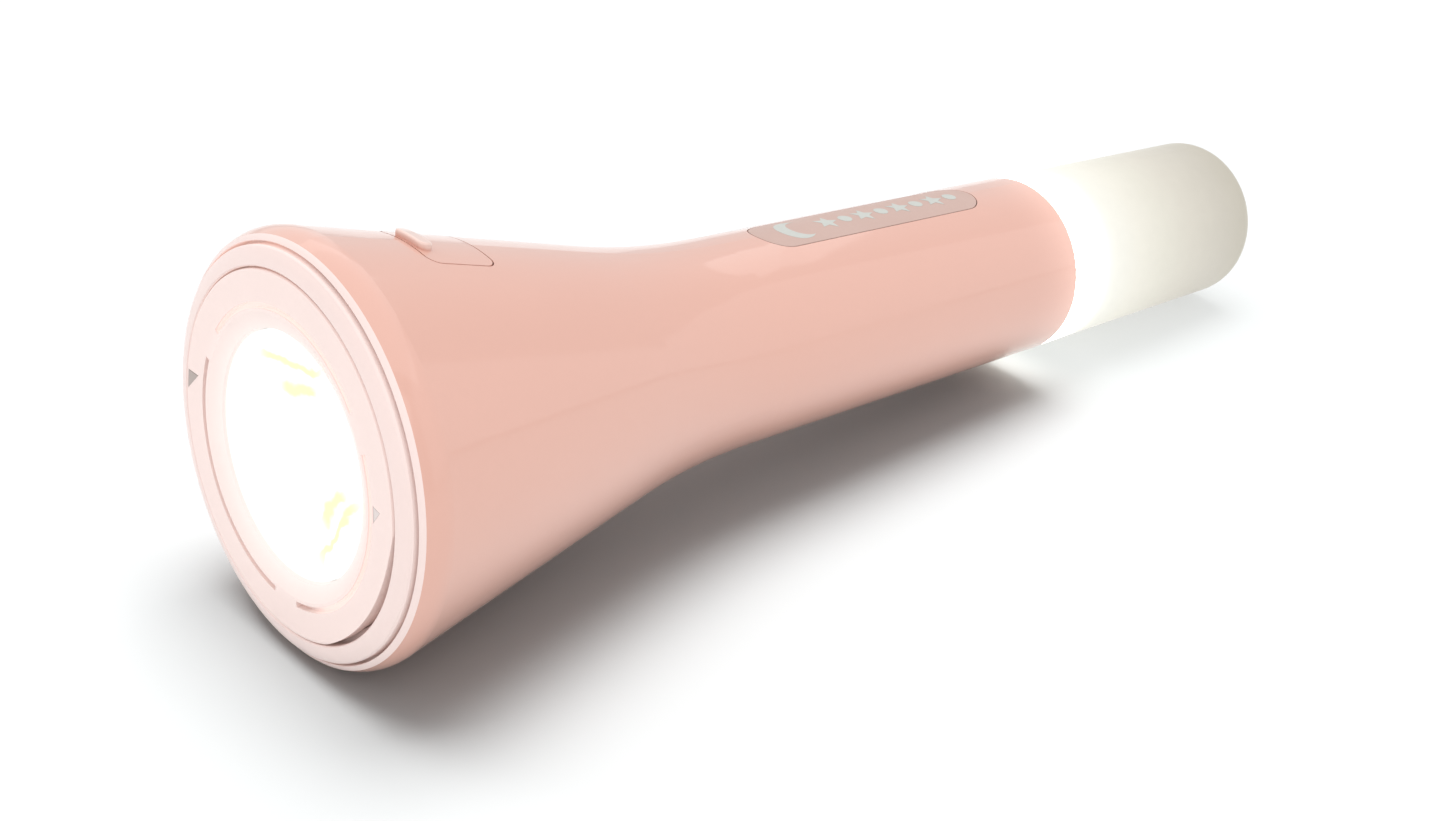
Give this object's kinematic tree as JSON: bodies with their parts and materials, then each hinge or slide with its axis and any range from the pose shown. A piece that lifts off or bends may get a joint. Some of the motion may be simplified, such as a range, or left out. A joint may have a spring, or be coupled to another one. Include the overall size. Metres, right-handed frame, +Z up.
{
  "type": "hand torch",
  "caption": "Rechargeable hand torch with a flared head, twist rings round its lens, a thumb button, a name plate on a tapered handle and a frosted lantern end.",
  "frame": {"origin": "on the surface that the torch lies on, under the middle of its box", "axes": "+X from the head to the lantern, +Z up through the thumb button, and the torch's own axis slopes down towards the lantern because the head is wider"},
  "size_m": [0.2266, 0.0652, 0.0651],
  "materials": {
    "body_pink": "glossy",
    "pale_pink": "glossy",
    "inner_white": "matt",
    "inner_black": "matt",
    "lens": "clear",
    "screw_steel": "plated",
    "reflector_chrome": "mirror",
    "led_yellow": "glossy",
    "board_white": "matt",
    "heat_sink_aluminium": "turned",
    "board_green": "satin",
    "cell_wrap": "wrapped",
    "nickel": "plated",
    "ferrite": "matt",
    "connector_white": "satin",
    "frosted_white": "frosted",
    "plate_taupe": "satin",
    "wire_black": "satin",
    "wire_red": "satin"
  },
  "bodies": {
    "housing": {"body_shell": "body_pink", "front_bezel": "pale_pink", "lamp_housing": "inner_white", "housing_screws": "screw_steel", "reflector": "reflector_chrome", "beam_led": "led_yellow", "beam_led_board": "board_white", "heat_sink": "heat_sink_aluminium", "tact_switch": "inner_black", "switch_board": "board_green", "inner_frame": "inner_white", "plate_screws": "screw_steel", "battery_cell": "cell_wrap", "battery_tabs": "nickel", "main_board": "board_green", "board_screws": "screw_steel", "control_chip": "inner_black", "power_coil": "ferrite", "small_parts": "nickel", "wire_connectors": "connector_white", "usb_socket": "screw_steel", "lantern_diffuser": "frosted_white", "lantern_tray": "inner_white", "lantern_board": "board_white", "lantern_leds": "led_yellow", "name_plate": "plate_taupe", "beam_wires": "wire_black", "switch_wires": "wire_red", "lantern_wires": "wire_red"},
    "lens_head": {"lock_ring": "pale_pink", "guide_ring": "inner_white"},
    "focus_ring": {"focus_cap": "pale_pink"},
    "lens_carrier": {"lens_barrel": "inner_black", "front_lens": "lens"},
    "button": {"thumb_button": "body_pink"},
    "plunger": {"switch_plunger": "inner_black"}
  },
  "joints": [
    {"name": "lock_ring_turn", "type": "hinge", "parent": "housing", "child": "lens_head", "pos_m": [-0.11111, 0, 0.03296], "axis": [0.9971, 0, -0.0764], "range_deg": [0, 30]},
    {"name": "focus_ring_turn", "type": "hinge", "parent": "lens_head", "child": "focus_ring", "pos_m": [-0.11111, 0, 0.03296], "axis": [0.9971, 0, -0.0764], "range_deg": [-30, 30]},
    {"name": "lens_slide", "type": "slide", "parent": "lens_head", "child": "lens_carrier", "axis": [0.9971, 0, -0.0764], "range_m": [-0.0008, 0.0008]},
    {"name": "button_press", "type": "slide", "parent": "housing", "child": "button", "axis": [-0.0764, 0, -0.9971], "range_m": [0, 0.0006], "stiffness_N_per_m": 1200},
    {"name": "plunger_press", "type": "slide", "parent": "housing", "child": "plunger", "axis": [-0.0764, 0, -0.9971], "range_m": [0, 0.000601]}
  ],
  "couplings": [
    {"joint": "lens_slide", "follows": "focus_ring_turn", "m_per_rad": 0.0015279},
    {"joint": "plunger_press", "follows": "button_press", "ratio": 1}
  ]
}
